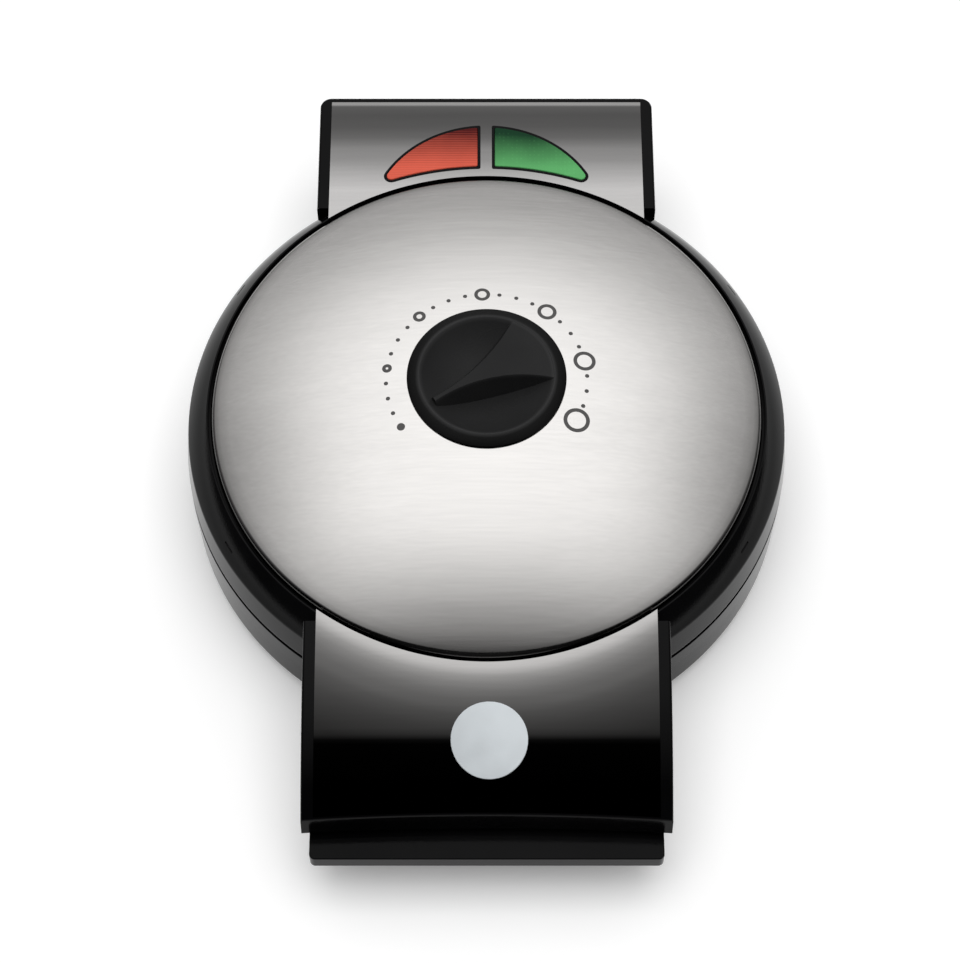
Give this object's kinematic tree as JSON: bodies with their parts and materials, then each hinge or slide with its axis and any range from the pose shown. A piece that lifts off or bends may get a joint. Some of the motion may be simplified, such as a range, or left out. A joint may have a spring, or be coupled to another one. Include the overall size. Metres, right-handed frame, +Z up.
{
  "type": "electric krumkake iron",
  "caption": "Countertop wafer iron with a round hinged lid, engraved baking plates, a domed steel cover with a central heat dial, lamp lenses, and a flat front handle.",
  "frame": {"origin": "on the table, at the centre of the overall box seen from above", "axes": "+Z up, +Y to the rear hinge, +X to the right of a person who stands at the handle"},
  "size_m": [0.2554, 0.348, 0.0927],
  "materials": {
    "base_tub": "gloss black moulded casing",
    "base_frame": "gloss black moulded casing",
    "base_feet": "matte black rubber",
    "base_screws": "zinc-plated steel",
    "lower_handle_cover": "satin black moulding",
    "hinge_pins": "turned steel",
    "cord_gland": "satin black soft bush",
    "terminal_block": "white ceramic look",
    "terminal_screws": "brass",
    "lower_plate": "dark non-stick coat on cast aluminium",
    "lower_element": "heat-darkened steel sheath",
    "lower_clamps": "zinc-plated sheet steel",
    "lower_clamp_screws": "zinc-plated steel",
    "lower_reflector": "bright aluminium sheet",
    "lower_plate_screws": "zinc-plated steel",
    "thermal_fuse": "plated capsule",
    "fuse_clip": "zinc-plated sheet steel",
    "fuse_clip_screw": "zinc-plated steel",
    "base_leads": "white braided sleeve",
    "lid_housing": "gloss black moulded casing",
    "lid_ring": "satin black heat-proof moulding",
    "lid_ring_screws": "zinc-plated steel",
    "dome_cover": "pressed stainless steel, brushed across",
    "rear_trim_plate": "dark brushed steel sheet",
    "front_trim_plate": "glossy dark sheet, brushed across",
    "badge_disc": "plain pale grey disc",
    "red_lens": "ribbed red lens",
    "green_lens": "prismatic green lens",
    "lamp_holder": "white heat-proof moulding",
    "lamp_screws": "zinc-plated steel",
    "power_lamp": "clear neon bulb",
    "ready_lamp": "clear neon bulb",
    "upper_handle_cover": "satin black moulding",
    "upper_handle_screws": "zinc-plated steel",
    "upper_plate": "dark non-stick coat on cast aluminium",
    "upper_element": "heat-darkened steel sheath",
    "upper_clamps": "zinc-plated sheet steel",
    "upper_clamp_screws": "zinc-plated steel",
    "upper_reflector": "bright aluminium sheet",
    "upper_plate_screws": "zinc-plated steel",
    "thermostat_bracket": "zinc-plated sheet steel",
    "thermostat_body": "cream heat-proof moulding",
    "lid_leads": "white braided sleeve",
    "thermostat_knob": "satin black moulding",
    "thermostat_shaft": "turned steel",
    "knob_clip": "spring steel"
  },
  "bodies": {
    "base": {"base_tub": "base_tub", "base_frame": "base_frame", "base_feet": "base_feet", "base_screws": "base_screws", "lower_handle_cover": "lower_handle_cover", "hinge_pins": "hinge_pins", "cord_gland": "cord_gland", "terminal_block": "terminal_block", "terminal_screws": "terminal_screws", "lower_plate": "lower_plate", "lower_element": "lower_element", "lower_clamps": "lower_clamps", "lower_clamp_screws": "lower_clamp_screws", "lower_reflector": "lower_reflector", "lower_plate_screws": "lower_plate_screws", "thermal_fuse": "thermal_fuse", "fuse_clip": "fuse_clip", "fuse_clip_screw": "fuse_clip_screw", "base_leads": "base_leads"},
    "lid": {"lid_housing": "lid_housing", "lid_ring": "lid_ring", "lid_ring_screws": "lid_ring_screws", "dome_cover": "dome_cover", "rear_trim_plate": "rear_trim_plate", "front_trim_plate": "front_trim_plate", "badge_disc": "badge_disc", "red_lens": "red_lens", "green_lens": "green_lens", "lamp_holder": "lamp_holder", "lamp_screws": "lamp_screws", "power_lamp": "power_lamp", "ready_lamp": "ready_lamp", "upper_handle_cover": "upper_handle_cover", "upper_handle_screws": "upper_handle_screws", "upper_plate": "upper_plate", "upper_element": "upper_element", "upper_clamps": "upper_clamps", "upper_clamp_screws": "upper_clamp_screws", "upper_reflector": "upper_reflector", "upper_plate_screws": "upper_plate_screws", "thermostat_bracket": "thermostat_bracket", "thermostat_body": "thermostat_body", "lid_leads": "lid_leads"},
    "dial": {"thermostat_knob": "thermostat_knob", "thermostat_shaft": "thermostat_shaft", "knob_clip": "knob_clip"}
  },
  "joints": [
    {"name": "lid_hinge", "type": "hinge", "parent": "base", "child": "lid", "pos_m": [0, 0.1475, 0.035], "axis": [-1, 0, 0], "range_deg": [0, 95]},
    {"name": "dial_turn", "type": "hinge", "parent": "lid", "child": "dial", "pos_m": [0, 0.0145, 0.09], "axis": [0, 0, -1], "range_deg": [0, 240]}
  ]
}
